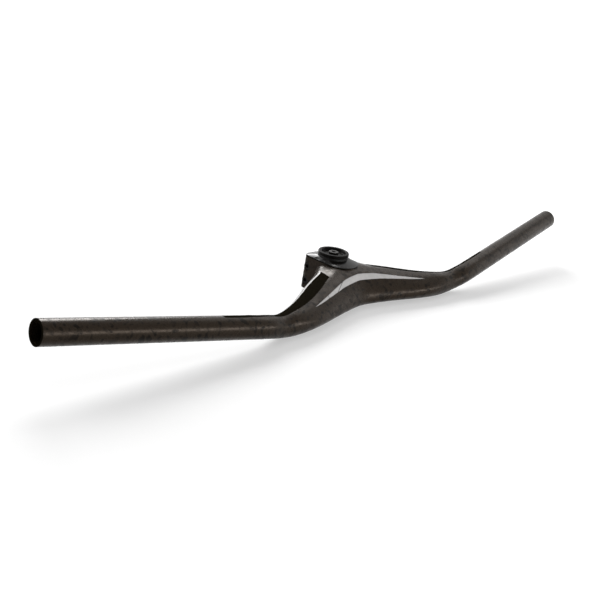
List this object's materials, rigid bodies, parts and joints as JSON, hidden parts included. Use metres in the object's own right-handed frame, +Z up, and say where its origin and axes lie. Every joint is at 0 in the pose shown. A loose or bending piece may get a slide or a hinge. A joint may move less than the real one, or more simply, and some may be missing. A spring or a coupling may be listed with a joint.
{
  "type": "integrated handlebar and stem",
  "caption": "One-piece carbon mountain bike bar and stem: swept tubular grips flow into a delta wing and a split steerer clamp with a cover and top cap.",
  "frame": {"origin": "centre of the steerer bore at the clamp's lower face", "axes": "+Z up along the steerer axis, +X along the bar to the right seen from the front, -Y forward"},
  "size_m": [0.78, 0.0969, 0.0604],
  "materials": {
    "carbon": "satin clear coat over black carbon",
    "anodised": "dark satin anodised",
    "bolt_steel": "black oxide",
    "insert_alloy": "plain machined"
  },
  "bodies": {
    "root": {"bar_stem": "carbon", "top_cover": "anodised", "top_cap": "anodised", "top_cap_bolt": "bolt_steel", "clamp_bolts": "bolt_steel", "clamp_washers": "bolt_steel", "clamp_inserts": "insert_alloy"}
  },
  "joints": []
}
